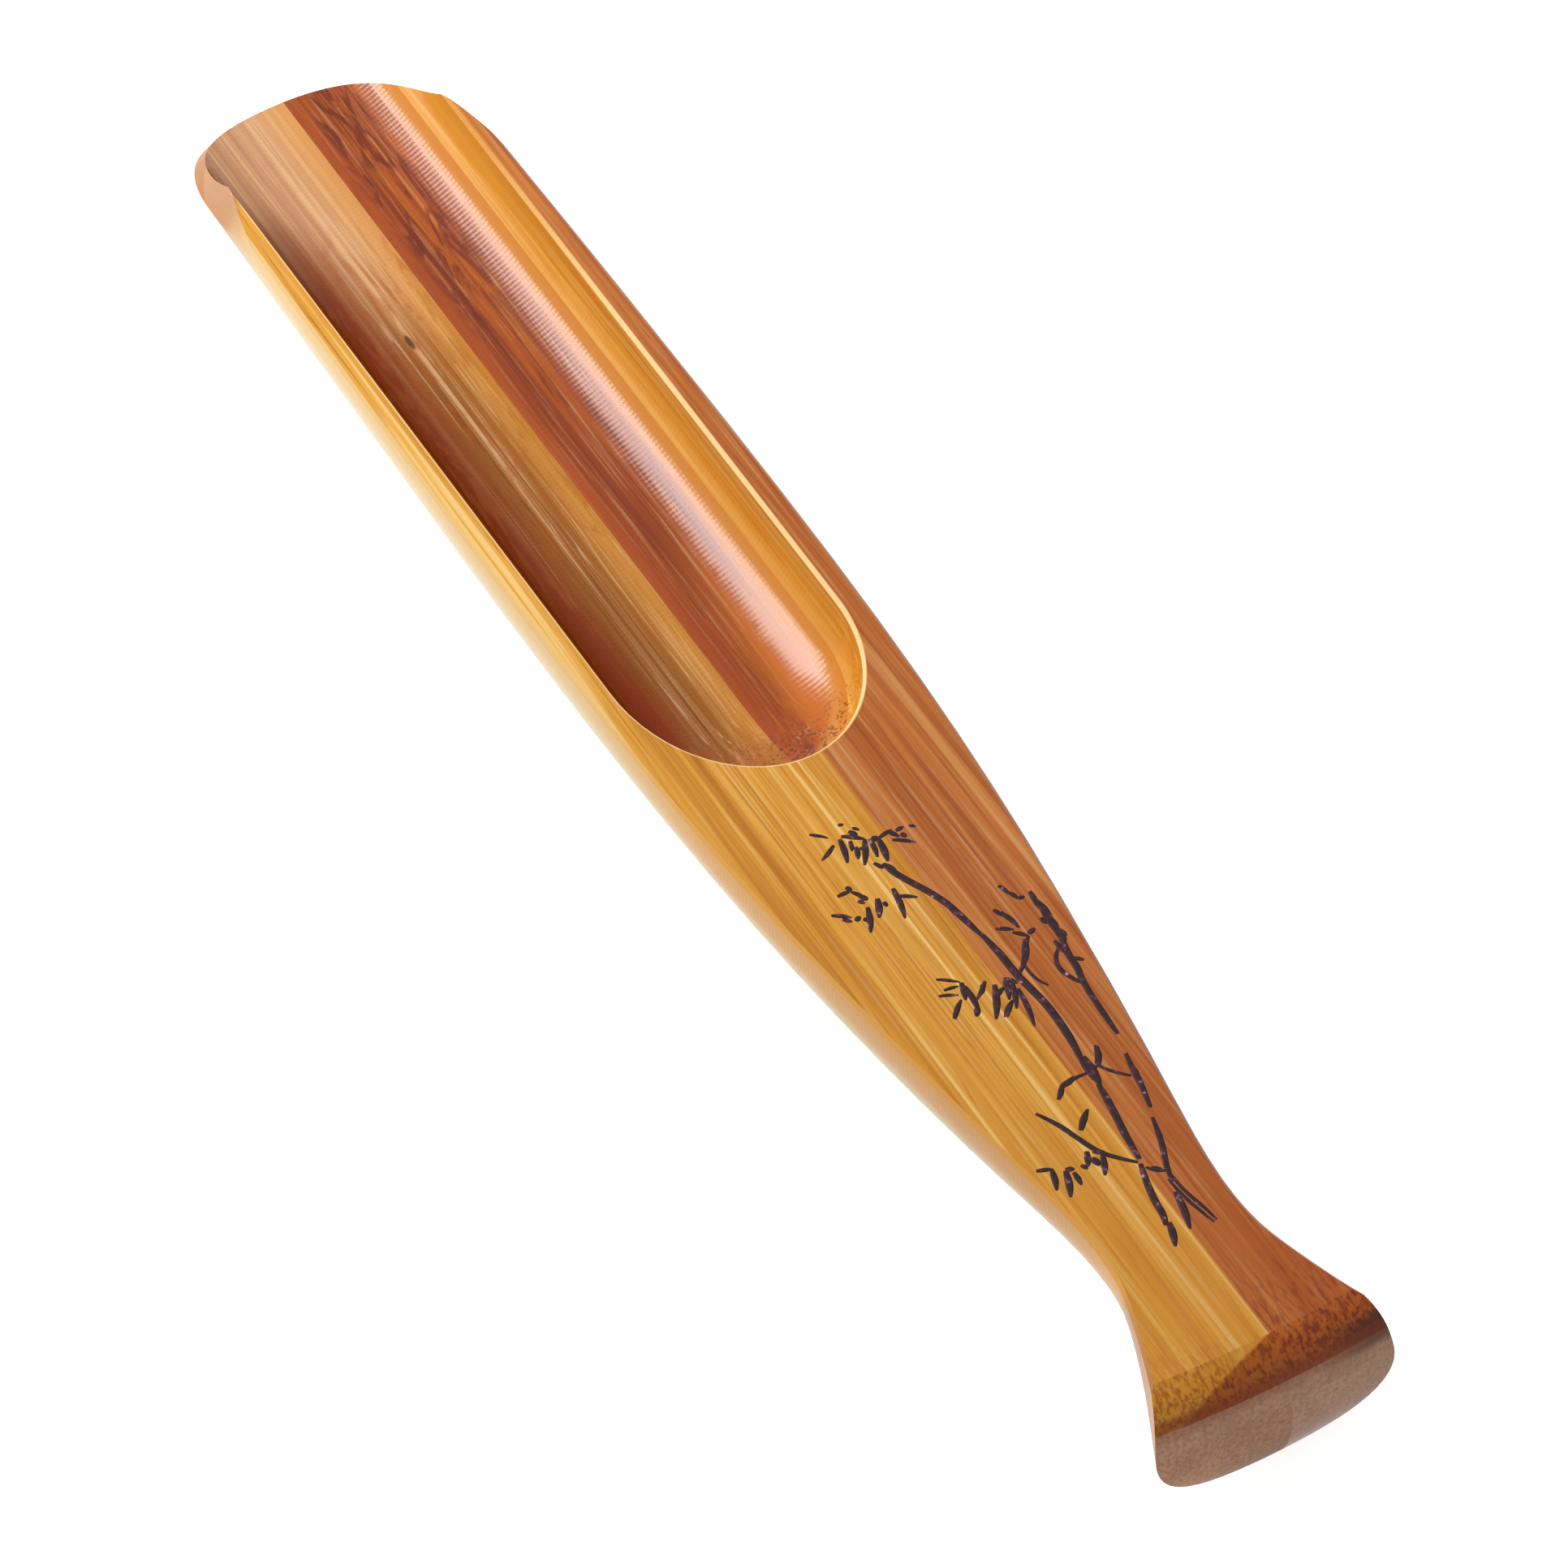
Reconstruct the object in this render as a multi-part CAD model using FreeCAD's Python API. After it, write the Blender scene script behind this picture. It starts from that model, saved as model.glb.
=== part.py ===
"""Laminated bamboo tea scoop: four glued staves carved into one boat-shaped shovel.

The scoop lies along X, with its nose at -X and its butt at +X. Z is up, and the flat
sole rests on Z = 0. The origin is below the middle of the length. Sizes are millimetres.
"""
import FreeCAD, Part
import math
import os

os.makedirs("parts", exist_ok=True)

# Overall sizes
length = 176.0
thickness = 12.4

# The blank: two layers of two staves, glued face to face
upper_layer = 4.5
glue_line_offset = 1.2

# Half widths of the scoop in plan
mouth_half_width = 13.1
waist_half_width = 13.5
neck_half_width = 6.2
butt_half_width = 11.35

# Depth of the belly curve below the top face, before the sole is planed flat
nose_floor = 1.6
sole_planing = 0.35
neck_depth = 8.5
butt_depth = 11.9

# Depth of the upright sides below the top face, and the fullness of the belly curve
nose_side = 2.6
waist_side = 1.2
neck_side = 0.5
butt_side = 4.6
belly_fullness = 0.414

# Bevel that takes the sharpness off the top edges
edge_bevel = 0.3

# The trough: a U that narrows to the rear and ends in a rounded wall
trough_depth = 7.5
trough_fullness = 0.53
front_rim_width = 1.6
rear_rim_width = 2.6
trough_straight = 87.8
trough_end_reach = 14.3
rim_bevel_width = 0.25
rim_bevel_depth = 0.45

# The nose: nearly square at its lower lip, and cut back over the walls into a long round
nose_lip_reach = 6.5
nose_rim_reach = 27.0
nose_rim_setback = 3.0
nose_tip_offset = 1.5
nose_fullness = 0.42

# The butt: the top face rolls down into an end that is domed both ways
roll_radius = 5.0
roll_start_slope = 16.5
roll_end_slope = 63.0
dome_radius = 10.4
butt_plan_radius = 120.0

# Overrun of each cutting body past what it cuts
overrun = 4.0

top = thickness
nose_x = -length / 2
butt_x = length / 2

# Sections of the body from one named section to the next: the place as a share of the
# length, then how far the width, the underside and the sides have gone
NOSE_TO_WAIST_SHARES = (
    (0.00, 0.00, 0.00, 0.00),
    (0.08, 0.00, 0.33, 0.25),
    (0.17, 0.40, 0.63, 0.55),
    (0.315, 0.90, 0.88, 0.90),
)
WAIST_TO_NECK_SHARES = (
    (0.457, 0.02, 0.00, 0.00),
    (0.60, 0.155, 0.00, 0.08),
    (0.714, 0.415, 0.07, 0.30),
    (0.80, 0.69, 0.42, 0.62),
    (0.857, 0.90, 0.80, 0.90),
    (0.903, 0.995, 1.00, 1.00),
)
NECK_TO_BUTT_SHARES = (
    (0.949, 0.32, 0.34, 0.25),
    (0.983, 0.76, 0.88, 0.80),
    (1.00, 1.00, 1.00, 1.00),
)


def vec(x, y, z):
    return FreeCAD.Vector(x, y, z)


def blend(first, last, share):
    return first + share * (last - first)


def line(a, b):
    return Part.LineSegment(a, b).toShape()


def arc(a, middle, b):
    return Part.Arc(a, middle, b).toShape()


def conic(a, corner, b, fullness):
    """A curve from a to b that aims at corner at both ends; more fullness goes nearer to it.

    It is made in two halves that meet smoothly at the shoulder, which keeps the mesh light.
    """
    pull = fullness / (1 - fullness)
    first_aim = (a + corner * pull) / (1 + pull)
    last_aim = (b + corner * pull) / (1 + pull)
    shoulder = (first_aim + last_aim) / 2
    edges = []
    for start, aim, end in ((a, first_aim, shoulder), (shoulder, last_aim, b)):
        curve = Part.BezierCurve()
        curve.setPoles([start, aim, end])
        curve.setWeight(2, math.sqrt((1 + pull) / 2))
        edges.append(curve.toShape())
    return edges


def solid_of(shape, name):
    """The single solid in a boolean's result; anything else stops the build."""
    if len(shape.Solids) != 1 or not shape.isValid():
        raise ValueError(f"{name}: {len(shape.Solids)} solids, valid {shape.isValid()}")
    return shape.Solids[0]


def body_section(x, half_width, depth, side):
    """One cross-section: flat top, bevelled edges, upright sides and a belly curve."""
    flat = half_width - edge_bevel
    keel = top - depth
    bottom = vec(x, 0, keel)
    corners = {}
    for sign in (1, -1):
        corners[sign] = [
            vec(x, sign * flat, top),
            vec(x, sign * half_width, top - edge_bevel),
            vec(x, sign * half_width, top - side),
        ]
    right_top, right_edge, right_side = corners[1]
    left_top, left_edge, left_side = corners[-1]
    return Part.Wire([
        line(left_top, right_top),
        line(right_top, right_edge),
        line(right_edge, right_side),
        *conic(right_side, vec(x, half_width, keel), bottom, belly_fullness),
        *conic(bottom, vec(x, -half_width, keel), left_side, belly_fullness),
        line(left_side, left_edge),
        line(left_edge, left_top),
    ])


def body_sections():
    """Every cross-section from nose to butt, with one more beyond each end."""
    nose = (mouth_half_width, trough_depth + nose_floor, nose_side)
    waist = (waist_half_width, thickness + sole_planing, waist_side)
    neck = (neck_half_width, neck_depth, neck_side)
    butt = (butt_half_width, butt_depth, butt_side)
    stretches = (
        (nose, waist, NOSE_TO_WAIST_SHARES),
        (waist, neck, WAIST_TO_NECK_SHARES),
        (neck, butt, NECK_TO_BUTT_SHARES),
    )
    sections = [body_section(nose_x - overrun, *nose)]
    for first, last, rows in stretches:
        for station_share, *shares in rows:
            sizes = [blend(*ends) for ends in zip(first, last, shares)]
            sections.append(body_section(nose_x + station_share * length, *sizes))
    sections.append(body_section(butt_x + overrun, *butt))
    return sections


def slab(z0, z1):
    """A block over the whole scoop in plan, from one height to another."""
    half = waist_half_width + butt_half_width
    reach = length + 2 * overrun
    return Part.makeBox(reach, 2 * half, z1 - z0, vec(-reach / 2, -half, z0))


def boat():
    """The outside of the scoop, with its sole planed flat and both ends still too long."""
    skin = Part.makeLoft(body_sections(), True, False)
    return solid_of(skin.cut(slab(-overrun, 0)), "boat")


def trough_half(x, half_width, side):
    """One side of the trough's section, from the keel line to above the rim."""
    floor = top - trough_depth
    foot = vec(x, 0, floor)
    wall_top = vec(x, side * half_width, top - rim_bevel_depth)
    slant = rim_bevel_width / rim_bevel_depth
    reach = side * (half_width + rim_bevel_width + slant * overrun)
    return [
        *conic(foot, vec(x, side * half_width, floor), wall_top, trough_fullness),
        line(wall_top, vec(x, reach, top + overrun)),
    ]


def trough_section(x, half_width):
    """The trough's whole section, closed above the top face."""
    sides = trough_half(x, half_width, 1), trough_half(x, half_width, -1)
    high = [half[-1].lastVertex(True).Point for half in sides]
    return Part.Wire(Part.__sortEdges__(sides[0] + sides[1] + [line(*high)]))


def trough():
    """The body that hollows the scoop: a tapering channel and a rounded end behind it."""
    end_x = nose_x + trough_straight
    rear_half = waist_half_width - rear_rim_width
    front_half = mouth_half_width - front_rim_width
    start_x = nose_x - overrun
    ends = trough_section(start_x, front_half), trough_section(end_x, rear_half)
    channel = Part.makeLoft(list(ends), True, True)
    half = trough_half(end_x, rear_half, 1)
    high = vec(end_x, 0, top + overrun)
    roof = line(half[-1].lastVertex(True).Point, high)
    spine = line(high, vec(end_x, 0, top - trough_depth))
    profile = Part.Face(Part.Wire(Part.__sortEdges__(half + [roof, spine])))
    bowl = profile.revolve(vec(end_x, 0, 0), vec(0, 0, -1), 180)
    stretch = FreeCAD.Matrix()
    stretch.move(vec(-end_x, 0, 0))
    stretch.scale(vec(trough_end_reach / rear_half, 1, 1))
    stretch.move(vec(end_x, 0, 0))
    return channel, bowl.transformGeometry(stretch)


def nose_outline(level, tip_x, reach):
    """The outline that the nose is sawn to at one height, closed behind the butt."""
    side = waist_half_width
    clear = side + overrun
    back_x = tip_x + reach
    far_x = butt_x + overrun
    tip = vec(tip_x, nose_tip_offset, level)
    return Part.Wire([
        *conic(vec(back_x, -side, level), vec(tip_x, -side, level), tip, nose_fullness),
        *conic(tip, vec(tip_x, side, level), vec(back_x, side, level), nose_fullness),
        line(vec(back_x, side, level), vec(back_x, clear, level)),
        line(vec(back_x, clear, level), vec(far_x, clear, level)),
        line(vec(far_x, clear, level), vec(far_x, -clear, level)),
        line(vec(far_x, -clear, level), vec(back_x, -clear, level)),
        line(vec(back_x, -clear, level), vec(back_x, -side, level)),
    ])


def nose_plan():
    """The body that the scoop is kept inside: its nose leans back from the lip to the rim."""
    lip = top - trough_depth - nose_floor
    at_lip = nose_x, nose_lip_reach
    at_rim = nose_x + nose_rim_setback, nose_rim_reach
    levels = (-overrun, at_lip), (lip, at_lip), (top, at_rim), (top + overrun, at_rim)
    return Part.makeLoft([nose_outline(level, *sizes) for level, sizes in levels], True, True)


def slope_point(centre, radius, slope):
    """The point of a round end where it slopes down by this angle towards the butt."""
    angle = math.radians(slope)
    return centre + vec(radius * math.sin(angle), 0, radius * math.cos(angle))


def butt_waste():
    """What is sanded off the butt: a block less a thick disc with the end's rolled edge."""
    slopes = math.cos(math.radians(roll_start_slope)) - math.cos(math.radians(roll_end_slope))
    level = top - roll_radius * slopes - dome_radius * math.cos(math.radians(roll_end_slope))
    dome_centre = vec(butt_x - dome_radius, 0, level)
    joint = slope_point(dome_centre, dome_radius, roll_end_slope)
    roll_centre = joint - slope_point(vec(0, 0, 0), roll_radius, roll_end_slope)
    roll_start = slope_point(roll_centre, roll_radius, roll_start_slope)
    roll_middle = slope_point(roll_centre, roll_radius, (roll_start_slope + roll_end_slope) / 2)
    above = roll_start + vec(-overrun / math.tan(math.radians(roll_start_slope)), 0, overrun)
    dome_end = slope_point(dome_centre, dome_radius, 180)
    axis_x = butt_x - butt_plan_radius
    high_axis = vec(axis_x, 0, above.z)
    low_axis = vec(axis_x, 0, dome_end.z)
    profile = Part.Wire([
        line(high_axis, above),
        line(above, roll_start),
        arc(roll_start, roll_middle, joint),
        arc(joint, vec(butt_x, 0, level), dome_end),
        line(dome_end, low_axis),
        line(low_axis, high_axis),
    ])
    disc = Part.Face(profile).revolve(vec(axis_x, 0, 0), vec(0, 0, 1), 360)
    reach = butt_half_width + overrun
    block_x = butt_x - dome_radius
    block = Part.makeBox(dome_radius + 2 * overrun, 2 * reach, thickness + overrun, vec(block_x, -reach, 0))
    return block.cut(disc)


def scoop():
    """The whole carved scoop, before it is told apart into its staves."""
    body = solid_of(boat().common(nose_plan()), "nose")
    cuts = zip(("channel", "bowl", "butt"), (*trough(), butt_waste()))
    for name, tool in cuts:
        body = solid_of(body.cut(tool), name)
    return body


def staves(body):
    """The four staves of the blank, each a quarter of the carved body."""
    seam = top - upper_layer
    half = waist_half_width + butt_half_width
    reach = length + 2 * overrun
    parts = {}
    for layer, low, high in (("upper", seam, top + overrun), ("lower", -overrun, seam)):
        for side, inner, outer in (("left", -half, glue_line_offset), ("right", glue_line_offset, half)):
            blank = Part.makeBox(reach, outer - inner, high - low, vec(-reach / 2, inner, low))
            name = f"{layer}_{side}_stave"
            parts[name] = solid_of(body.common(blank), name)
    return parts


def main():
    for name, stave in staves(scoop()).items():
        stave.exportStep(f"parts/{name}.step")
        print(name, round(stave.Volume, 1), len(stave.Faces))


main()
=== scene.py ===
import bpy
import math
import mathutils
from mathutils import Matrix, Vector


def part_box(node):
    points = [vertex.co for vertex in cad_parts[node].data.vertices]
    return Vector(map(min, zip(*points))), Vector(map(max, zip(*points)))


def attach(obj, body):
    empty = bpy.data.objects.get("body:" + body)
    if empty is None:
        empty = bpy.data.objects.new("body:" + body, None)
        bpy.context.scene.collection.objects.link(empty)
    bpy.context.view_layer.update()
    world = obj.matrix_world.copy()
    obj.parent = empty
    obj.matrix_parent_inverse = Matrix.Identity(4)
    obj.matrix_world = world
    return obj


# The scoop lies along X on the floor at Z = 0, with its nose at -X and its trough up.
# The tables below are in millimetres; Blender works in metres.
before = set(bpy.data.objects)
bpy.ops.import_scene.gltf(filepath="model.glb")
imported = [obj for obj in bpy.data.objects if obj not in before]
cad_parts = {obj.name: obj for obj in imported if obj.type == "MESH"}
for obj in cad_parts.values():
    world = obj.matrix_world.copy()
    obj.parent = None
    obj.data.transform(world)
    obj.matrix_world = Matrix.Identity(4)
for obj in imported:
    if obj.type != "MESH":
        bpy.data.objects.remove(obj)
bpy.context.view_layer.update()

MM = 0.001
TOP_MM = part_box("upper_left_stave")[1][2] / MM

# Camera: the photograph looks down over the scoop's left edge, with the nose far away
CAMERA_PLACE_MM = (305.4, -168.9, 394.5)
CAMERA_TURN_DEG = (41.1, 0.0, 60.23)
CAMERA_LENS_MM = 139.1
CAMERA_SENSOR_MM = 36.0

# Light: one soft box to the left of the nose, and an even pale room
SOFT_BOX_PLACE_MM = (-330.0, -255.0, 375.0)
SOFT_BOX_SIZE_MM = (330.0, 240.0)
SOFT_BOX_LEAN_DEG = -35.0
SOFT_BOX_WATTS = 3.95
ROOM_LEVEL = 0.27
FLOOR_SIZE_MM = 6000.0
FLOOR_SHADE = "#F4F3F1"
FLOOR_LIFT = 0.82


def colour(code):
    """An sRGB hex code as linear red, green, blue and alpha."""
    parts = [int(code[i:i + 2], 16) / 255 for i in (1, 3, 5)]
    linear = [p / 12.92 if p <= 0.04045 else ((p + 0.055) / 1.055) ** 2.4 for p in parts]
    return (*linear, 1.0)


def add(tree, kind, inputs=None, stops=None, **settings):
    """Add a node with its settings; an input takes a value or another node's output."""
    node = tree.nodes.new(kind)
    for key, value in settings.items():
        setattr(node, key, value)
    for key, value in (inputs or {}).items():
        if isinstance(value, bpy.types.NodeSocket):
            tree.links.new(value, node.inputs[key])
        else:
            node.inputs[key].default_value = value
    for place, (position, code) in enumerate(stops or ()):
        if place > 1:
            node.color_ramp.elements.new(position)
        stop = node.color_ramp.elements[place]
        stop.position = position
        stop.color = colour(code)
    return node


def blank_material(name):
    """A material with an empty node tree."""
    material = bpy.data.materials.new(name)
    material.use_nodes = True
    material.node_tree.nodes.clear()
    return material, material.node_tree


# Grain of the bamboo, in millimetres: length along the scoop, then width across it.
# Real fibre bundles are 0.3 to 0.9 mm wide, and the strips of lighter and darker wood a few mm.
STRAND_MM = (70.0, 0.9)
FIBRE_MM = (14.0, 0.32)
DRIFT_MM = (90.0, 4.0)
PORE_MM = (40.0, 0.42)
FIGURE_MM = (7.5, 1.3)
MOTTLE_MM = (1.5, 0.36)
# The ends of cut fibres show as dots
DOT_MM = 0.42
# How much the strands and the broad drift each share in the shade, and where the shades lie
STRAND_SHARE = 0.62
DRIFT_SHARE = 0.38
SHADE_PLACES = (0.33, 0.45, 0.56, 0.70)
# The trough's rim in plan, just inside its bevel: a channel that tapers to a rounded end
BOWL_CENTRE_MM = -0.2
BOWL_HALF_WIDTH_MM = 10.9
BOWL_REACH_MM = 14.3
CHANNEL_TAPER = 0.0068
# One dark fleck lies in the trough's floor: its place, and how it is drawn out along the scoop
FLECK_PLACE_MM = (-52.8, -3.3, 5.0)
FLECK_SHRINK = (0.75, 2.6, 1.0)
# The golden ply's edge runs askew over the roll: how far back it lies per millimetre across
PLY_SKEW = 0.3
# The gouge leaves faint marks across the trough, half a millimetre apart, from just under the
# rim down to where they are full
GOUGE_STEP_MM = 0.55
GOUGE_START_MM = 0.2
GOUGE_FULL_MM = 1.5
GOUGE_STRENGTH = 0.8
# Relief that the lacquer hasn't filled
RELIEF_MM = 0.012
RELIEF_STRENGTH = 0.7
# Bare bamboo is matt, a little less so where the fibres are dense
BAMBOO_IOR = 1.45
BAMBOO_ROUGHNESS = (0.42, 0.60)
DENSE_TO_LOOSE = (0.3, 0.7)
# Thin clear lacquer, with the soft shine that the photo shows
LACQUER_IOR = 1.5
LACQUER_ROUGHNESS = 0.19


def grain_signals(tree, shift):
    """The signals that every stave's colour is made from: place, facing and grain."""
    where = add(tree, "ShaderNodeTexCoord").outputs["Object"]
    place = add(tree, "ShaderNodeMapping", {"Vector": where, "Scale": (1 / MM,) * 3}).outputs[0]
    x, y, z = add(tree, "ShaderNodeSeparateXYZ", {0: place}).outputs
    normal = add(tree, "ShaderNodeNewGeometry").outputs["Normal"]
    facing = add(tree, "ShaderNodeSeparateXYZ", {0: normal}).outputs
    signals = {"x": x, "y": y, "z": z,
               "facing_x": facing[0], "facing_y": facing[1], "facing_z": facing[2]}
    signals["ply_edge"] = add(tree, "ShaderNodeMath", {0: y, 1: PLY_SKEW, 2: x},
                              operation="MULTIPLY_ADD").outputs[0]

    # How far a point lies outside the trough's rim, seen from above
    past = add(tree, "ShaderNodeMath", {0: x, 1: BOWL_CENTRE_MM}, operation="SUBTRACT").outputs[0]
    behind = add(tree, "ShaderNodeMath", {0: past, 1: 0.0}, operation="MAXIMUM").outputs[0]
    rounded = add(tree, "ShaderNodeMath", {0: behind, 1: BOWL_HALF_WIDTH_MM / BOWL_REACH_MM},
                  operation="MULTIPLY").outputs[0]
    before = add(tree, "ShaderNodeMath", {0: past, 1: 0.0}, operation="MINIMUM").outputs[0]
    minus_width = add(tree, "ShaderNodeMath", {0: before, 1: CHANNEL_TAPER, 2: -BOWL_HALF_WIDTH_MM},
                      operation="MULTIPLY_ADD").outputs[0]
    plan = add(tree, "ShaderNodeCombineXYZ", {0: rounded, 1: y}).outputs[0]
    reach = add(tree, "ShaderNodeVectorMath", {0: plan}, operation="LENGTH").outputs["Value"]
    signals["from_rim"] = add(tree, "ShaderNodeMath", {0: reach, 1: minus_width},
                              operation="ADD").outputs[0]

    apart = add(tree, "ShaderNodeVectorMath", {0: place, 1: FLECK_PLACE_MM},
                operation="SUBTRACT").outputs[0]
    apart = add(tree, "ShaderNodeVectorMath", {0: apart, 1: FLECK_SHRINK},
                operation="MULTIPLY").outputs[0]
    signals["fleck"] = add(tree, "ShaderNodeVectorMath", {0: apart},
                           operation="LENGTH").outputs["Value"]

    for name, (long, wide), kind, look in (
            ("strands", STRAND_MM, "ShaderNodeTexNoise", {"Detail": 2.0}),
            ("fibres", FIBRE_MM, "ShaderNodeTexNoise", {"Detail": 3.0}),
            ("drift", DRIFT_MM, "ShaderNodeTexNoise", {"Detail": 1.0}),
            ("figure", FIGURE_MM, "ShaderNodeTexNoise", {"Detail": 2.0, "Distortion": 1.6}),
            ("mottle", MOTTLE_MM, "ShaderNodeTexNoise", {"Detail": 2.0}),
            ("pores", PORE_MM, "ShaderNodeTexVoronoi", {})):
        stretched = add(tree, "ShaderNodeMapping", {
            "Vector": place, "Location": shift, "Scale": (1 / long, 1 / wide, 1 / wide)}).outputs[0]
        signals[name] = add(tree, kind, {"Vector": stretched, "Scale": 1.0, **look}).outputs[0]
    signals["dots"] = add(tree, "ShaderNodeTexVoronoi", {
        "Vector": place, "Scale": 1 / DOT_MM}).outputs["Distance"]
    return signals


def lacquered_bamboo(name, shift, cover, shades, layers):
    """Laminated bamboo under a thin clear lacquer.

    The wood gives warm straight strands, and the film a soft, pale sheen over them that bends
    with the gouge's marks. The shades run from the darkest strands to the palest. Each layer
    lays a colour over them where all its signals lie in their ranges; a range is where it
    starts and where it is full. The cover is the weight of the coat.
    """
    material, tree = blank_material(name)
    signals = grain_signals(tree, shift)
    strands = add(tree, "ShaderNodeMath", {0: signals["strands"], 1: STRAND_SHARE},
                  operation="MULTIPLY").outputs[0]
    grain = add(tree, "ShaderNodeMath", {0: signals["drift"], 1: DRIFT_SHARE, 2: strands},
                operation="MULTIPLY_ADD").outputs[0]
    shade = add(tree, "ShaderNodeValToRGB", {0: grain},
                stops=tuple(zip(SHADE_PLACES, shades))).outputs[0]
    for ranges, code, most, way in layers:
        amount = most
        for signal, start, full in ranges:
            amount = add(tree, "ShaderNodeMapRange", {
                "Value": signals[signal], "From Min": start, "From Max": full,
                "To Min": 0.0, "To Max": amount}, interpolation_type="SMOOTHSTEP").outputs[0]
        shade = add(tree, "ShaderNodeMix", {0: amount, 6: shade, 7: colour(code)},
                    data_type="RGBA", blend_type=way).outputs[2]

    # Relief: the fibres stand a little proud along the scoop, and the gouge's marks cross them
    turns = add(tree, "ShaderNodeMath", {0: signals["x"], 1: math.tau / GOUGE_STEP_MM},
                operation="MULTIPLY").outputs[0]
    wave = add(tree, "ShaderNodeMath", {0: turns}, operation="SINE").outputs[0]
    hollow = add(tree, "ShaderNodeMapRange", {
        "Value": signals["z"], "From Min": TOP_MM - GOUGE_START_MM,
        "From Max": TOP_MM - GOUGE_FULL_MM, "To Min": 0.0, "To Max": GOUGE_STRENGTH}).outputs[0]
    uneven = add(tree, "ShaderNodeMath", {0: hollow, 1: signals["drift"]},
                 operation="MULTIPLY").outputs[0]
    marks = add(tree, "ShaderNodeMath", {0: wave, 1: uneven}, operation="MULTIPLY").outputs[0]
    relief = add(tree, "ShaderNodeMath", {0: signals["fibres"], 1: marks},
                 operation="ADD").outputs[0]
    bump = add(tree, "ShaderNodeBump", {
        "Height": relief, "Strength": RELIEF_STRENGTH, "Distance": RELIEF_MM * MM}).outputs[0]
    matt = add(tree, "ShaderNodeMapRange", {
        "Value": signals["fibres"], "From Min": DENSE_TO_LOOSE[0], "From Max": DENSE_TO_LOOSE[1],
        "To Min": BAMBOO_ROUGHNESS[0], "To Max": BAMBOO_ROUGHNESS[1]}).outputs[0]
    # The film hides the wood's own gloss, so only the coat shines
    surface = add(tree, "ShaderNodeBsdfPrincipled", {
        "Base Color": shade, "Roughness": matt, "Normal": bump, "IOR": BAMBOO_IOR,
        "Specular IOR Level": 0.0, "Coat Weight": cover, "Coat Roughness": LACQUER_ROUGHNESS,
        "Coat IOR": LACQUER_IOR, "Coat Normal": bump}).outputs[0]
    add(tree, "ShaderNodeOutputMaterial", {0: surface})
    return material


# Layers that every stave shares: a fine fibre grain, and the pores in it
FIBRE_LAYERS = (
    ((("fibres", 0.50, 0.74),), "#FFE2A8", 0.16, "SCREEN"),
    ((("fibres", 0.50, 0.28),), "#B0703C", 0.34, "MULTIPLY"),
    ((("pores", 0.34, 0.10),), "#A8683C", 0.32, "MULTIPLY"),
)
# The butt's end grain drinks the lacquer: dark and dotted over the roll, dull on the end. The end
# face's pale greyish brown is also a painted sheen, and painted light against its shade
ROLL_LAYERS = (
    ((("facing_x", 0.16, 0.55),), "#CC5A06", 0.88, "MIX"),
    ((("facing_x", 0.12, 0.35), ("mottle", 0.50, 0.34)), "#E07E1C", 0.45, "MIX"),
    ((("facing_x", 0.12, 0.35), ("mottle", 0.44, 0.66)), "#7E2400", 0.72, "MIX"),
    ((("facing_x", 0.12, 0.35), ("dots", 0.45, 0.20), ("fibres", 0.38, 0.58)),
     "#4A1A02", 0.45, "MIX"),
)
# The end face: dull end grain, its pale greyish brown partly a painted sheen and painted light
END_LAYERS = (
    ((("facing_x", 0.84, 0.93),), "#D6A484", 0.90, "MIX"),
    ((("facing_x", 0.84, 0.93), ("mottle", 0.50, 0.30)), "#E4C09C", 0.35, "MIX"),
    ((("facing_x", 0.84, 0.93), ("mottle", 0.45, 0.72)), "#AC7448", 0.50, "MIX"),
    ((("facing_x", 0.84, 0.93), ("drift", 0.45, 0.65)), "#B88460", 0.35, "MIX"),
    ((("facing_x", 0.84, 0.93), ("dots", 0.40, 0.15)), "#8A5C44", 0.25, "MIX"),
    ((("y", 4.0, 10.0), ("facing_x", 0.60, 0.78), ("facing_x", 0.95, 0.90)),
     "#481602", 0.85, "MIX"),
    ((("facing_x", 0.74, 0.82), ("facing_x", 0.94, 0.88)), "#963A02", 0.65, "MIX"),
)
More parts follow.
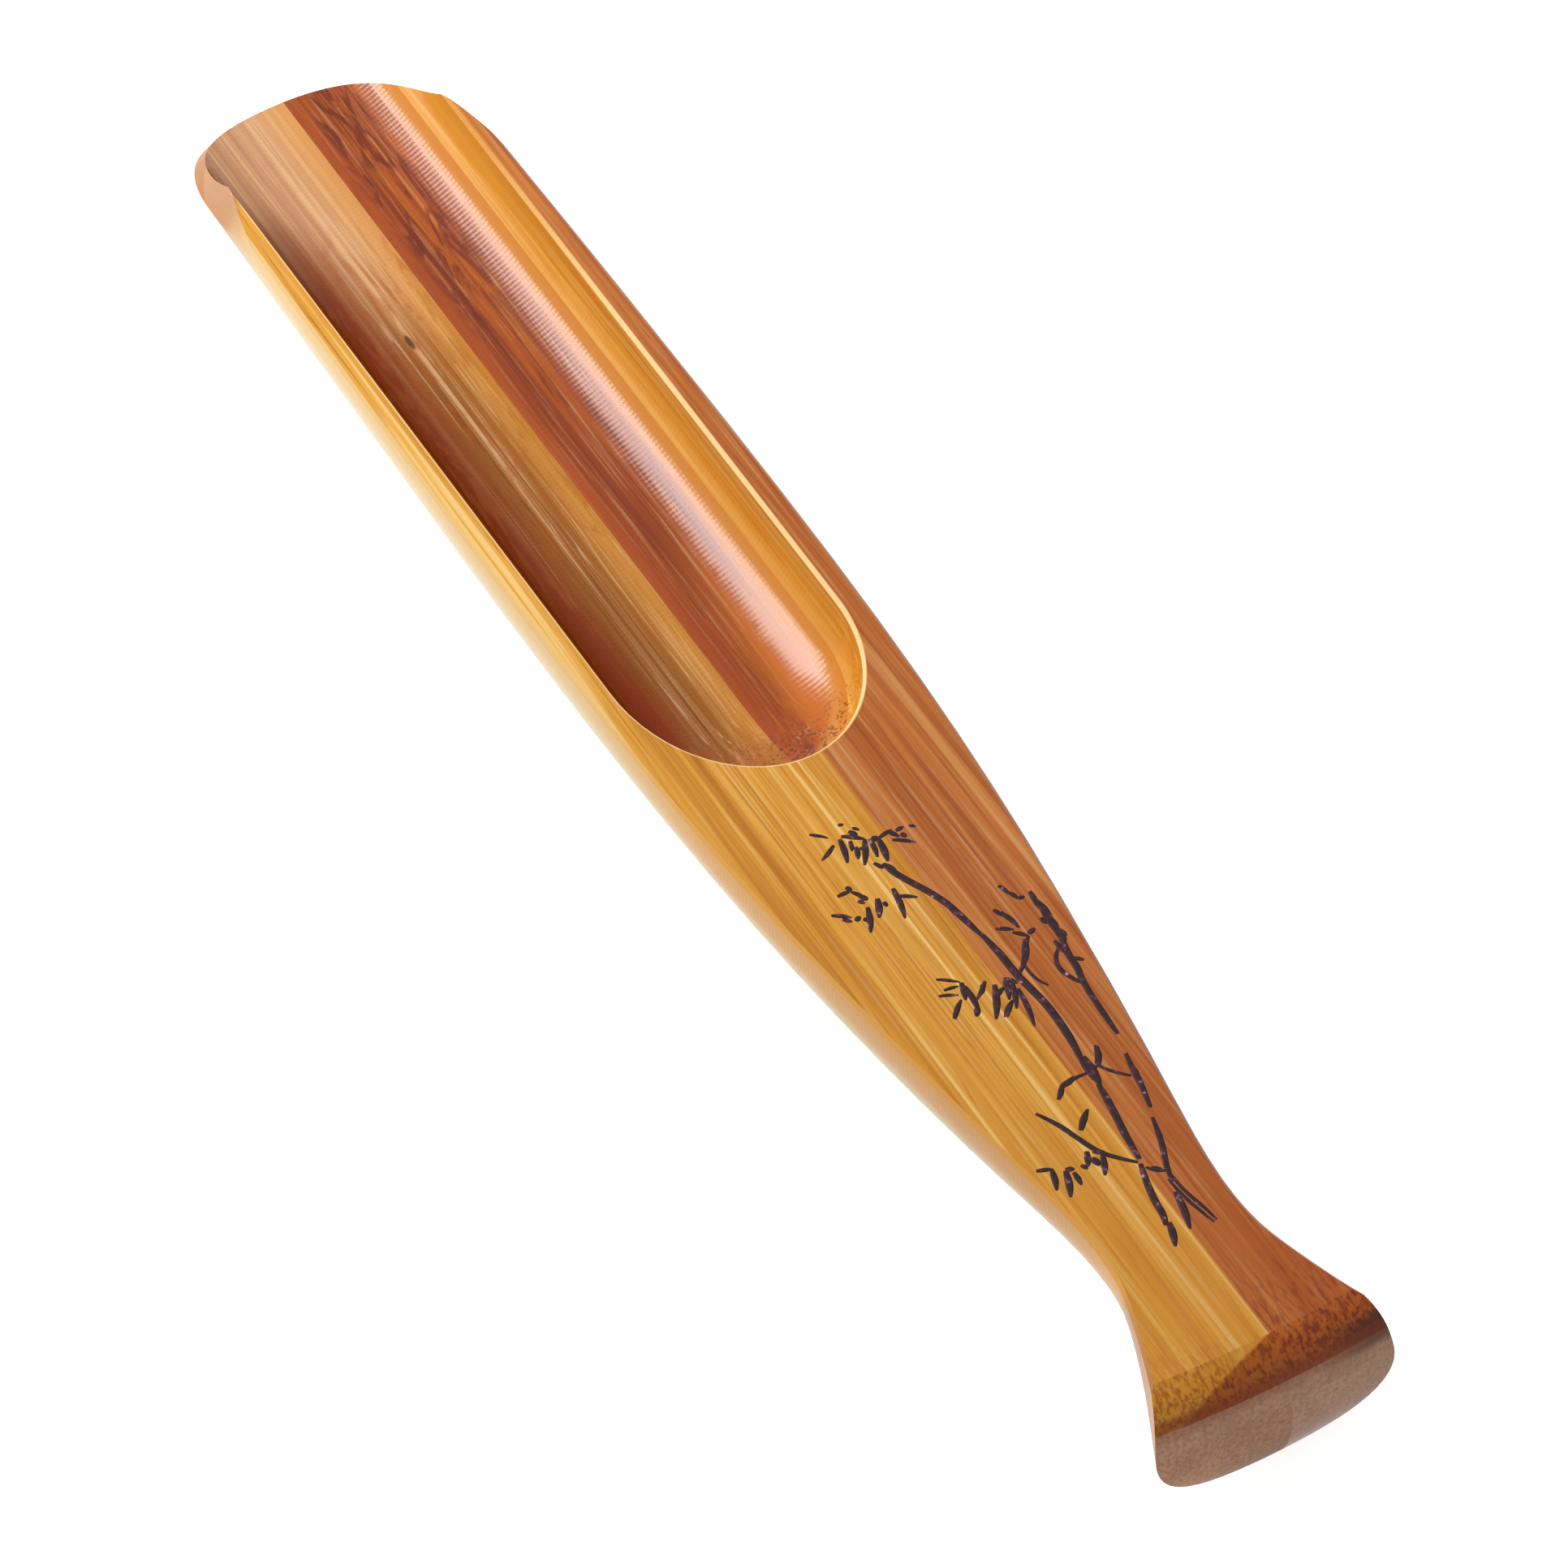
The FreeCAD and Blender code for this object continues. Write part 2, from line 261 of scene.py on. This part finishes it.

# Golden bamboo: the left upper stave, painted palest on its outer side for the light there, and
# painted brown for shade in the trough's cut wall
GOLDEN_SHADES = ("#C07A1C", "#D08E2E", "#DA9C3A", "#E4AE54")
GOLDEN_LAYERS = (
    *FIBRE_LAYERS,
    ((("strands", 0.62, 0.68),), "#F2CC84", 0.60, "MIX"),
    ((("strands", 0.500, 0.508), ("strands", 0.524, 0.516)), "#B4641A", 0.55, "MIX"),
    ((("strands", 0.40, 0.34),), "#B06A1E", 0.45, "MIX"),
    ((("x", 30.0, 85.0),), "#CC8626", 0.35, "MIX"),
    # painted light: the outer side is painted pale for the strong light on it, golder in bands
    # below its top edge
    ((("facing_y", -0.15, -0.50),), "#CCB88E", 0.92, "MIX"),
    ((("facing_y", -0.15, -0.50), ("z", 9.4, 11.8)), "#CCA25C", 0.70, "MIX"),
    ((("facing_y", -0.15, -0.50), ("z", 7.4, 9.6), ("x", -6.0, 24.0)), "#C88A34", 0.80, "MIX"),
    ((("facing_y", -0.10, -0.30), ("x", -62.0, -74.0)), "#A87442", 0.96, "MIX"),
    ((("facing_x", -0.10, -0.30), ("facing_y", 0.3, 0.1)), "#A06E40", 0.96, "MIX"),
    # painted shade: the trough's left wall is painted brown, less so towards the nose
    ((("from_rim", 0.30, 0.10), ("facing_z", 0.97, 0.90), ("x", -84.0, -76.0)),
     "#9A3E08", 0.92, "MIX"),
    # painted shade: the trough's rear wall is painted brown, with end-grain dots over it
    ((("from_rim", 0.30, 0.10), ("x", 2.0, 8.0), ("facing_z", 0.97, 0.90)),
     "#A4622E", 0.80, "MIX"),
    ((("from_rim", 0.30, 0.10), ("x", 2.0, 8.0), ("facing_z", 0.97, 0.90), ("dots", 0.45, 0.2)),
     "#7C3A14", 0.50, "MIX"),
    # the small bevel round the trough is painted pale: a painted highlight along the rim
    ((("z", 11.90, 12.02), ("from_rim", 0.36, 0.28), ("from_rim", -0.15, 0.05)),
     "#FFDCA0", 0.85, "MIX"),
    ((("x", -68.0, -72.0),), "#A47040", 0.96, "MIX"),
    # painted light: the roll is painted brighter against the shade it lies in, facing away from the
    # soft box
    ((("facing_x", 0.16, 0.60),), "#FFAC30", 0.95, "MIX"),
    ((("facing_x", 0.10, 0.30), ("mottle", 0.42, 0.64), ("y", 0.0, -5.0)),
     "#BC5A08", 0.75, "MIX"),
    ((("x", 78.0, 84.0), ("mottle", 0.46, 0.66), ("y", -0.5, -5.0), ("facing_z", 0.9, 0.98)),
     "#B0641A", 0.55, "MIX"),
    ((("ply_edge", 84.0, 84.3), ("facing_x", 0.16, 0.30)), "#C8620C", 0.90, "MIX"),
    ((("ply_edge", 84.0, 84.3), ("facing_x", 0.16, 0.30), ("mottle", 0.44, 0.66)),
     "#7E2400", 0.72, "MIX"),
    ((("facing_x", 0.10, 0.45), ("dots", 0.45, 0.20), ("fibres", 0.40, 0.60), ("y", -3.0, -7.0)),
     "#9A4C08", 0.45, "MIX"),
    *END_LAYERS,
)

# Orange bamboo: the right upper stave, yellow where the trough cuts below its skin
ORANGE_SHADES = ("#A4541A", "#B46426", "#C07232", "#CC8644")
ORANGE_LAYERS = (
    *FIBRE_LAYERS,
    ((("strands", 0.60, 0.70),), "#CC9050", 0.40, "MIX"),
    ((("strands", 0.500, 0.508), ("strands", 0.524, 0.516)), "#8C4014", 0.55, "MIX"),
    ((("strands", 0.40, 0.34),), "#984A1A", 0.50, "MIX"),
    ((("facing_y", 0.5, 0.2), ("from_rim", 0.30, 0.10),), "#CC8A2C", 0.94, "MIX"),
    ((("facing_y", 0.5, 0.2), ("from_rim", 0.30, 0.10), ("strands", 0.50, 0.62)),
     "#E0AC60", 0.45, "MIX"),
    ((("facing_y", 0.5, 0.2), ("from_rim", 0.30, 0.10), ("fibres", 0.50, 0.32)),
     "#C06C14", 0.60, "MIX"),
    ((("facing_y", 0.5, 0.2), ("from_rim", 0.30, 0.10), ("z", 9.4, 8.2), ("x", 14.0, 4.0)),
     "#DCA458", 0.45, "MIX"),
    ((("facing_y", 0.5, 0.2), ("from_rim", 0.30, 0.10), ("x", 4.0, 12.0), ("y", 8.0, 3.0)),
     "#A86030", 0.80, "MIX"),
    ((("facing_y", 0.5, 0.2), ("from_rim", 0.30, 0.10), ("x", 2.0, 8.0), ("dots", 0.45, 0.2)),
     "#8C4A10", 0.45, "MIX"),
    ((("y", 4.0, 12.0), ("x", 10.0, 70.0)), "#A2460C", 0.55, "MIX"),
    ((("x", 50.0, 84.0),), "#A84A0C", 0.50, "MIX"),
    ((("x", 74.0, 84.0), ("mottle", 0.46, 0.66), ("facing_z", 0.9, 0.98)),
     "#7A2A04", 0.60, "MIX"),
    ((("facing_y", 0.5, 0.2), ("from_rim", -0.5, -0.2), ("x", -40.0, -62.0),
      ("from_rim", 0.5, 0.3)),
     "#CC8A2C", 0.80, "MIX"),
    # painted highlight: the small bevel round the trough is painted pale along the rim
    ((("z", 11.90, 12.02), ("from_rim", 0.36, 0.28), ("from_rim", -0.15, 0.05),
      ("x", -70.0, -36.0)),
     "#FFDCA0", 0.80, "MIX"),
    *ROLL_LAYERS,
    *END_LAYERS,
)

# Tan bamboo: the left lower stave, the left half of the trough's floor
TAN_SHADES = ("#985824", "#B07034", "#BE8248", "#CE985E")
TAN_LAYERS = (
    *FIBRE_LAYERS,
    ((("x", -66.0, -42.0),), "#D4C6B0", 1.00, "MULTIPLY"),
    ((("x", -48.0, -70.0), ("facing_z", 0.3, 0.6)), "#D8A886", 0.50, "MIX"),
    ((("strands", 0.56, 0.65),), "#DCB080", 0.70, "MIX"),
    ((("strands", 0.495, 0.505), ("strands", 0.525, 0.515), ("facing_z", 0.1, 0.3)),
     "#E4C098", 0.45, "MIX"),
    ((("y", -2.6, 0.4), ("facing_z", 0.3, 0.6)), "#D09038", 0.55, "MIX"),
    # painted shade: the trough's left wall is painted dark brown
    ((("y", -3.4, -6.4), ("x", -82.0, -56.0), ("facing_y", 0.05, 0.35), ("facing_z", 0.1, 0.3)),
     "#903400", 0.96, "MIX"),
    ((("figure", 0.48, 0.66), ("x", -74.0, -60.0), ("x", -6.0, -26.0), ("facing_z", 0.4, 0.7)),
     "#A85A1C", 0.50, "MIX"),
    # painted shade: the trough's rear wall is painted brown, with end-grain dots over it
    ((("x", 1.0, 9.0), ("facing_z", 0.1, 0.4)), "#A0602C", 0.80, "MIX"),
    ((("x", 3.0, 8.0), ("facing_z", 0.1, 0.4), ("dots", 0.45, 0.2)), "#5E2A0C", 0.50, "MIX"),
    ((("fleck", 1.0, 0.5),), "#4A2018", 0.80, "MIX"),
    # painted light: the belly and the left side are painted pale, for the strong light on the side
    # and against the shade below
    ((("facing_z", 0.1, -0.3), ("y", 2.0, 0.0)), "#E2CFA8", 0.85, "MIX"),
    ((("facing_y", -0.30, -0.75), ("facing_z", 0.3, -0.1)), "#E0CFAC", 0.90, "MIX"),
    ((("facing_y", -0.10, -0.30), ("x", -62.0, -74.0)), "#A87442", 0.96, "MIX"),
    ((("facing_x", -0.10, -0.30), ("facing_y", 0.3, 0.1), ("x", -56.0, -62.0)),
     "#A06E40", 0.96, "MIX"),
    *ROLL_LAYERS,
    *END_LAYERS,
)

# Dark bamboo: the right lower stave, reddish, with a wavy dark figure near the nose
DARK_SHADES = ("#782A00", "#8C3A00", "#9A4602", "#B0600A")
DARK_LAYERS = (
    *FIBRE_LAYERS,
    ((("strands", 0.40, 0.33),), "#6C2004", 0.50, "MIX"),
    ((("strands", 0.500, 0.508), ("strands", 0.528, 0.520)), "#5A1A02", 0.55, "MIX"),
    ((("figure", 0.45, 0.62), ("x", -42.0, -62.0), ("y", 8.5, 6.0), ("facing_z", 0.3, 0.6)),
     "#601A02", 0.84, "MIX"),
    ((("y", 3.2, 1.8), ("facing_z", 0.3, 0.6)), "#A0460A", 0.70, "MIX"),
    ((("x", -24.0, 2.0), ("y", 3.0, 6.0), ("facing_z", 0.3, 0.6)), "#C46C14", 0.70, "MIX"),
    ((("z", 6.2, 7.0), ("facing_z", 0.1, 0.3)), "#C47E2C", 0.85, "MIX"),
    ((("x", 4.0, 8.0), ("dots", 0.60, 0.30), ("fibres", 0.40, 0.55), ("facing_z", 0.1, 0.3)),
     "#5E1E04", 0.75, "MIX"),
    ((("facing_z", 0.0, -0.4),), "#A85E28", 0.70, "MIX"),
    *ROLL_LAYERS,
    *END_LAYERS,
)

# Each stave: its material, where its grain starts, its coat's weight and its colours. The real
# scoop has one film all over: the weights differ only to match the colours in the photo.
STAVES = {
    "upper_left_stave": (
        "golden lacquered bamboo", (3.1, 7.7, 1.9), 0.45, GOLDEN_SHADES, GOLDEN_LAYERS),
    "upper_right_stave": (
        "orange lacquered bamboo", (8.3, 2.4, 5.5), 0.50, ORANGE_SHADES, ORANGE_LAYERS),
    "lower_left_stave": (
        "tan lacquered bamboo", (1.7, 4.2, 9.1), 0.25, TAN_SHADES, TAN_LAYERS),
    "lower_right_stave": (
        "dark lacquered bamboo", (6.9, 9.3, 3.6), 0.62, DARK_SHADES, DARK_LAYERS),
}


def dress_staves():
    """Give every stave its own bamboo."""
    for node, look in STAVES.items():
        material = lacquered_bamboo(*look)
        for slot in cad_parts[node].material_slots:
            slot.material = material


# The sprig of bamboo on the handle, in millimetres along the scoop and across it. The places
# of its strokes were read from the photo, one by one.
# Each stem has its width, then the points that it follows.
STEMS_MM = (
    (0.66, ((27.7, -0.6), (28.5, -0.5), (30.1, 0.1), (31.9, 1.0), (34.0, 1.8), (36.7, 2.2),
            (38.4, 2.5))),
    (0.72, ((38.2, 2.5), (40.3, 2.8), (43.0, 2.8), (44.8, 3.0), (46.9, 3.3), (49.1, 3.3),
            (51.8, 3.1), (53.8, 2.7))),
    (0.89, ((53.5, 2.8), (54.6, 2.7), (55.8, 2.7))),
    (0.66, ((56.3, 2.6), (57.5, 2.5), (59.5, 2.2), (62.2, 1.7), (64.4, 1.5))),
    (0.64, ((64.8, 1.3), (66.4, 0.8), (68.6, 0.3), (70.2, 0.2), (71.0, -0.2))),
    (0.49, ((40.3, 5.8), (41.5, 4.7), (42.8, 3.9), (43.4, 3.0))),
    (0.37, ((42.8, 3.9), (44.4, 3.7), (45.6, 4.5))),
    (0.43, ((37.0, 5.2), (38.3, 5.4), (39.2, 5.6))),
    (0.41, ((34.5, 6.4), (35.6, 6.8), (36.5, 7.1))),
    (0.49, ((36.4, 8.4), (37.5, 8.1), (38.3, 8.3), (39.6, 8.0), (41.2, 8.1), (42.5, 7.8))),
    (0.58, ((41.4, 8.3), (42.9, 7.7), (45.1, 7.5), (46.8, 7.1), (49.0, 6.9), (51.1, 6.8),
            (52.7, 6.7))),
    (0.43, ((42.4, 7.6), (43.1, 6.6), (44.5, 6.1), (46.1, 6.6), (46.9, 7.1))),
    (0.58, ((54.7, 6.2), (56.5, 5.8), (58.2, 5.6), (60.4, 5.0))),
    (0.43, ((54.6, 3.6), (55.6, 4.0), (56.9, 5.4))),
    (0.46, ((54.9, 2.4), (54.8, 0.7), (55.2, -0.3), (56.1, -1.0))),
    (0.43, ((52.8, 4.5), (54.3, 3.9), (54.9, 3.2))),
    (0.49, ((56.4, -3.3), (58.0, -2.4), (59.8, -1.8), (61.6, -1.2), (62.9, -0.5), (64.6, 1.2))),
    (0.52, ((61.3, 4.6), (62.9, 4.2), (64.4, 3.7), (66.4, 2.8), (67.6, 2.6))),
    (0.35, ((66.0, 2.8), (67.8, 2.8), (69.4, 3.0), (71.0, 3.4), (72.5, 3.6))),
    (0.35, ((67.2, 2.4), (69.0, 2.5), (70.6, 2.8), (72.6, 3.3))),
    (0.41, ((65.3, 1.5), (66.1, 1.9), (66.4, 2.8))),
)
# Each leaf runs from one point to another and has its greatest width
LEAVES_MM = (
    (22.0, -4.4, 23.1, -3.2, 0.38), (22.3, -1.8, 22.4, -1.3, 0.38), (23.9, -3.2, 24.9, -4.9, 0.46),
    (23.6, -2.5, 26.2, -3.2, 0.60), (23.3, -1.4, 24.0, -0.9, 0.54), (23.1, -0.9, 23.6, -0.5, 0.38),
    (23.5, -2.2, 24.7, -0.6, 0.54), (25.0, -1.7, 26.3, -2.2, 0.54), (24.6, -0.7, 27.1, -2.1, 0.60),
    (24.8, -0.3, 26.9, -0.7, 0.54), (24.9, -0.1, 25.3, 0.5, 0.68), (25.2, 0.3, 27.7, -0.2, 0.68),
    (27.3, -1.3, 28.2, -0.9, 0.46), (25.3, -1.5, 25.9, -1.0, 0.46), (24.2, -1.8, 25.3, -2.2, 0.46),
    (27.8, -0.7, 29.0, -0.1, 0.60), (25.2, 0.5, 24.9, 1.9, 0.46), (24.8, 1.4, 25.9, 2.0, 0.54),
    (25.2, 2.1, 25.1, 2.9, 0.46), (25.6, 2.3, 26.2, 2.5, 0.54), (25.9, 1.3, 27.1, 2.9, 0.46),
    (25.2, 3.3, 25.6, 3.8, 0.38), (29.0, -5.7, 29.0, -4.4, 0.46), (28.4, -4.6, 29.0, -4.4, 0.54),
    (29.1, -4.5, 30.2, -3.8, 0.46), (29.8, -4.1, 30.5, -3.7, 0.60), (30.5, -7.2, 31.5, -5.8, 0.46),
    (31.3, -6.6, 31.9, -6.0, 0.46), (32.0, -5.7, 31.7, -5.1, 0.54), (31.1, -4.2, 33.6, -5.3, 0.60),
    (32.0, -5.0, 32.5, -4.9, 0.46), (30.7, -3.0, 32.6, -3.9, 0.68), (31.3, -2.7, 31.9, -2.7, 0.46),
    (30.4, -1.4, 33.7, -2.1, 0.60), (31.4, -1.4, 32.3, -0.0, 0.46), (30.2, -4.5, 30.7, -4.1, 0.46),
    (40.6, -3.2, 41.8, -1.6, 0.38), (42.2, -3.9, 42.9, -2.4, 0.38), (41.9, -3.2, 42.1, -1.9, 0.38),
    (41.8, -1.6, 43.6, -2.2, 0.60), (44.9, -3.9, 43.4, -2.4, 0.54), (42.3, -1.6, 45.3, -1.9, 0.60),
    (44.6, -1.7, 45.5, -2.3, 0.60), (42.8, -0.2, 43.7, -0.6, 0.46), (42.6, 0.2, 44.0, -1.4, 0.46),
    (43.3, 0.6, 46.5, -1.1, 0.68), (44.6, 0.1, 44.0, 1.3, 0.54), (43.1, 1.7, 45.3, 0.9, 0.60),
    (46.8, -0.2, 45.5, 1.2, 0.60), (43.8, 2.0, 46.4, 0.9, 0.54), (44.6, 2.0, 48.7, 1.2, 0.54),
    (43.3, 1.8, 44.2, 2.4, 0.54), (34.5, 6.4, 35.7, 6.7, 0.46), (35.6, 6.8, 36.5, 7.1, 0.46),
    (36.5, 7.1, 36.6, 7.7, 0.46), (36.3, 8.3, 37.7, 8.1, 0.54), (37.3, 8.2, 39.7, 8.4, 0.60),
    (39.3, 8.2, 41.1, 8.2, 0.60), (40.9, 8.2, 41.9, 8.5, 0.54), (41.4, 8.3, 42.6, 7.8, 0.54),
    (39.2, 7.6, 40.0, 7.8, 0.54), (36.5, 4.7, 37.5, 5.0, 0.46), (37.1, 5.0, 38.9, 5.6, 0.54),
    (38.4, 3.8, 39.2, 5.1, 0.46), (39.4, 4.8, 40.4, 5.8, 0.46), (40.2, 5.9, 39.9, 6.7, 0.54),
    (40.4, 5.3, 42.8, 3.8, 0.68), (41.8, 7.3, 43.4, 7.4, 0.54), (43.4, 7.4, 46.1, 7.4, 0.60),
    (44.2, 7.8, 44.8, 8.4, 0.46), (61.4, -6.3, 61.9, -5.0, 0.46), (61.8, -5.2, 63.8, -5.9, 0.60),
    (62.4, -4.3, 64.9, -5.3, 0.68), (62.4, -4.2, 62.7, -3.5, 0.54), (62.9, -3.8, 64.3, -3.9, 0.54),
    (62.6, -2.9, 63.2, -2.6, 0.46), (61.6, -1.8, 63.0, -2.5, 0.60), (62.4, -1.8, 63.4, -1.6, 0.68),
    (61.9, -1.4, 62.6, -0.5, 0.54), (62.5, -0.9, 64.4, -1.8, 0.60), (59.7, -1.0, 58.1, 0.6, 0.64),
    (53.3, 2.9, 56.6, 2.6, 0.82), (54.7, 1.3, 55.1, -0.1, 0.60), (54.9, 0.0, 56.1, -1.0, 0.54),
    (52.9, 4.5, 54.7, 3.7, 0.54), (68.5, 2.1, 72.2, 1.2, 0.68), (70.8, 0.1, 73.1, -0.7, 0.68),
    (65.6, 1.8, 66.2, 2.5, 0.46), (56.0, 5.9, 57.8, 5.5, 0.60),
)
# A stem thins at its ends. A leaf swells along its length, and bows a little to one side.
STEM_ENDS_SHARE = 0.6
LEAF_SHARES = ((0.0, 0.6), (0.30, 1.0), (0.70, 0.95), (1.0, 0.35))
LEAF_BOW_SHARE = 0.06
# The ink lies only a hair above the wood, so its strokes are rounded coarsely
INK_FLATNESS = 0.04
STROKE_ROUND_STEPS = 1
STROKE_LENGTH_STEPS = 6
# Blots in the ink: how many to a millimetre, and their relief
INK_BLOTS_PER_MM = 1.6
INK_RELIEF_MM = 0.02
# The ink's shades over its blots; the palest is a painted glint
INK_AND_GLINT_STOPS = ((0.40, "#1C080C"), (0.58, "#36121A"), (0.68, "#5C3246"), (0.78, "#B49CB0"))


def ink():
    """Dark brown lines, taken for brushed ink that dried matt, with painted purplish glints."""
    material, tree = blank_material("dark brown drawing ink")
    where = add(tree, "ShaderNodeTexCoord").outputs["Object"]
    place = add(tree, "ShaderNodeMapping", {"Vector": where, "Scale": (1 / MM,) * 3}).outputs[0]
    blots = add(tree, "ShaderNodeTexNoise", {
        "Vector": place, "Scale": INK_BLOTS_PER_MM, "Detail": 2.0}).outputs[0]
    shade = add(tree, "ShaderNodeValToRGB", {0: blots}, stops=INK_AND_GLINT_STOPS).outputs[0]
    bump = add(tree, "ShaderNodeBump", {
        "Height": blots, "Strength": 0.5, "Distance": INK_RELIEF_MM * MM}).outputs[0]
    surface = add(tree, "ShaderNodeBsdfPrincipled", {
        "Base Color": shade, "Roughness": 0.6, "Normal": bump, "IOR": 1.45,
        "Specular IOR Level": 0.3}).outputs[0]
    add(tree, "ShaderNodeOutputMaterial", {0: surface})
    return material


def draw_strokes(name, rows, material):
    """Lay flat, round-backed strokes on the top face; each row is its points with their widths."""
    bpy.ops.object.select_all(action="DESELECT")
    curve = bpy.data.curves.new(name, "CURVE")
    curve.dimensions = "3D"
    curve.bevel_depth = MM / 2
    curve.bevel_resolution = STROKE_ROUND_STEPS
    curve.resolution_u = STROKE_LENGTH_STEPS
    curve.use_fill_caps = True
    for points in rows:
        spline = curve.splines.new("NURBS")
        spline.points.add(len(points) - 1)
        for point, (x, y, width) in zip(spline.points, points):
            point.co = (x * MM, y * MM, 0.0, 1.0)
            point.radius = width
        spline.order_u = 3
        spline.use_endpoint_u = True
    piece = bpy.data.objects.new(name, curve)
    bpy.context.collection.objects.link(piece)
    bpy.context.view_layer.objects.active = piece
    piece.select_set(True)
    bpy.ops.object.convert(target="MESH")
    piece = bpy.context.object
    piece.scale = (1.0, 1.0, INK_FLATNESS)
    piece.location = (0.0, 0.0, TOP_MM * MM)
    bpy.ops.object.transform_apply(location=True, rotation=True, scale=True)
    bpy.ops.object.shade_smooth()
    piece.data.materials.append(material)
    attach(piece, "root")


def draw_sprig():
    """The bamboo sprig drawn on the handle: its stems, then its leaves."""
    material = ink()
    stems = []
    for width, points in STEMS_MM:
        ends = (0, len(points) - 1)
        shares = [STEM_ENDS_SHARE if i in ends else 1.0 for i in range(len(points))]
        stems.append([(x, y, width * share) for (x, y), share in zip(points, shares)])
    draw_strokes("sprig_stems", stems, material)
    leaves = []
    for x0, y0, x1, y1, width in LEAVES_MM:
        along_x, along_y = x1 - x0, y1 - y0
        row = []
        for share, swell in LEAF_SHARES:
            bow = LEAF_BOW_SHARE * swell
            x = x0 + along_x * share - along_y * bow
            y = y0 + along_y * share + along_x * bow
            row.append((x, y, width * swell))
        leaves.append(row)
    draw_strokes("sprig_leaves", leaves, material)


def seen_directly(tree):
    """One where the camera sees the background, straight, mirrored or through something clear."""
    path = add(tree, "ShaderNodeLightPath").outputs
    mirrored = add(tree, "ShaderNodeMath", {0: path["Is Camera Ray"], 1: path["Is Glossy Ray"]},
                   operation="MAXIMUM").outputs[0]
    return add(tree, "ShaderNodeMath", {0: mirrored, 1: path["Is Transmission Ray"]},
               operation="MAXIMUM").outputs[0]


def white_room():
    """An even room that lights the scoop softly and is white where it is seen or mirrored."""
    world = bpy.data.worlds.new("pale room")
    world.use_nodes = True
    tree = world.node_tree
    tree.nodes.clear()
    seen = seen_directly(tree)
    level = add(tree, "ShaderNodeMapRange", {
        "Value": seen, "To Min": ROOM_LEVEL, "To Max": 1.0}).outputs[0]
    sky = add(tree, "ShaderNodeBackground", {
        "Color": colour("#FFFFFF"), "Strength": level}).outputs[0]
    add(tree, "ShaderNodeOutputWorld", {0: sky})
    bpy.context.scene.world = world


def pale_floor():
    """A plain matt floor, white where it is seen or mirrored, that takes the scoop's shadow."""
    bpy.ops.object.select_all(action="DESELECT")
    bpy.ops.mesh.primitive_plane_add(size=FLOOR_SIZE_MM * MM)
    floor = bpy.context.object
    floor.name = "floor"
    material, tree = blank_material("matt white board")
    lift = add(tree, "ShaderNodeMath", {0: seen_directly(tree), 1: FLOOR_LIFT},
               operation="MULTIPLY").outputs[0]
    glow = add(tree, "ShaderNodeEmission", {
        "Color": colour("#FFFFFF"), "Strength": lift}).outputs[0]
    matt = add(tree, "ShaderNodeBsdfDiffuse", {"Color": colour(FLOOR_SHADE)}).outputs[0]
    both = add(tree, "ShaderNodeAddShader", {0: glow, 1: matt}).outputs[0]
    add(tree, "ShaderNodeOutputMaterial", {0: both})
    floor.data.materials.append(material)


def soft_box():
    """The soft box, turned so that it looks at the scoop."""
    lamp = bpy.data.lights.new("soft box", "AREA")
    lamp.shape = "RECTANGLE"
    lamp.size, lamp.size_y = [s * MM for s in SOFT_BOX_SIZE_MM]
    lamp.energy = SOFT_BOX_WATTS
    holder = bpy.data.objects.new("soft_box", lamp)
    bpy.context.collection.objects.link(holder)
    away = mathutils.Vector(SOFT_BOX_PLACE_MM)
    back = away.normalized()
    level_side = back.cross(mathutils.Vector((1.0, 0.0, 0.0))).normalized()
    lean = mathutils.Matrix.Rotation(math.radians(SOFT_BOX_LEAN_DEG), 3, back)
    long_side = lean @ level_side
    short_side = back.cross(long_side)
    turn = mathutils.Matrix((long_side, short_side, back)).transposed()
    holder.location = away * MM
    holder.rotation_euler = turn.to_euler()


def camera():
    """The camera at the photograph's angle."""
    lens = bpy.data.cameras.new("camera")
    lens.lens = CAMERA_LENS_MM
    lens.sensor_width = CAMERA_SENSOR_MM
    holder = bpy.data.objects.new("camera", lens)
    bpy.context.collection.objects.link(holder)
    holder.location = [p * MM for p in CAMERA_PLACE_MM]
    holder.rotation_euler = [math.radians(a) for a in CAMERA_TURN_DEG]
    bpy.context.scene.camera = holder


bpy.context.scene.view_settings.view_transform = "Standard"
camera()
white_room()
pale_floor()
soft_box()
dress_staves()
draw_sprig()
